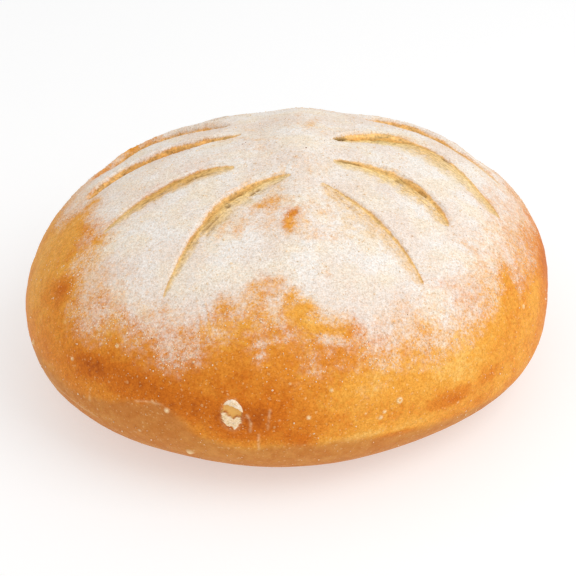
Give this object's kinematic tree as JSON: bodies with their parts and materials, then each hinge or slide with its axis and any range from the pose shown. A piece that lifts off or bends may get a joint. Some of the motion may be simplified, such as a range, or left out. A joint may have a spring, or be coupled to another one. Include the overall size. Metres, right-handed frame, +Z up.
{
  "type": "bread loaf",
  "caption": "Round sourdough loaf with a domed golden crust, a fern of bowed slashes across its top, a dusting of flour and a flat underside.",
  "frame": {"origin": "middle of the loaf's footprint, on the surface that it stands on", "axes": "+Z up; the fern's spine runs along Y with the front of the loaf at -Y; +X is to the right as seen from the front"},
  "size_m": [0.25, 0.2488, 0.1089],
  "materials": {
    "crust": "baked golden crust with a dusting of flour, matte with a faint sheen where it is bare",
    "flour": "dry wheat flour, matte"
  },
  "bodies": {
    "root": {"loaf": "crust"}
  },
  "joints": []
}
